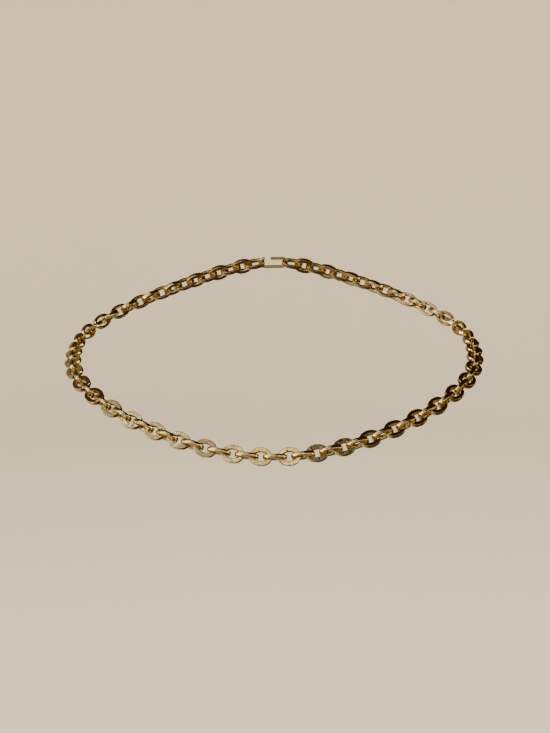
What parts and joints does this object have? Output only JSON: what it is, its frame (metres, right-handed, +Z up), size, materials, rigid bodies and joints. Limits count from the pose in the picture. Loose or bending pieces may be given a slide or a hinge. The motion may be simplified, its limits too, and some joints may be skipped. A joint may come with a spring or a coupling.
{
  "type": "waist chain",
  "caption": "Closed waist chain of thick flat oval links, flat and edge-on by turns, worn low on the hips and shut by a plain hook.",
  "frame": {"origin": "middle of the loop, on the axis of the hips it is worn on, halfway between its lowest and highest links", "axes": "-Y the wearer's front, +X the wearer's left, +Z up along the body"},
  "size_m": [0.3416, 0.2529, 0.1367],
  "materials": {
    "polished_gold": "polished yellow gold plating on brass"
  },
  "bodies": {
    "root": {"face_links": "polished_gold", "side_links": "polished_gold", "clasp_hook": "polished_gold"}
  },
  "joints": []
}
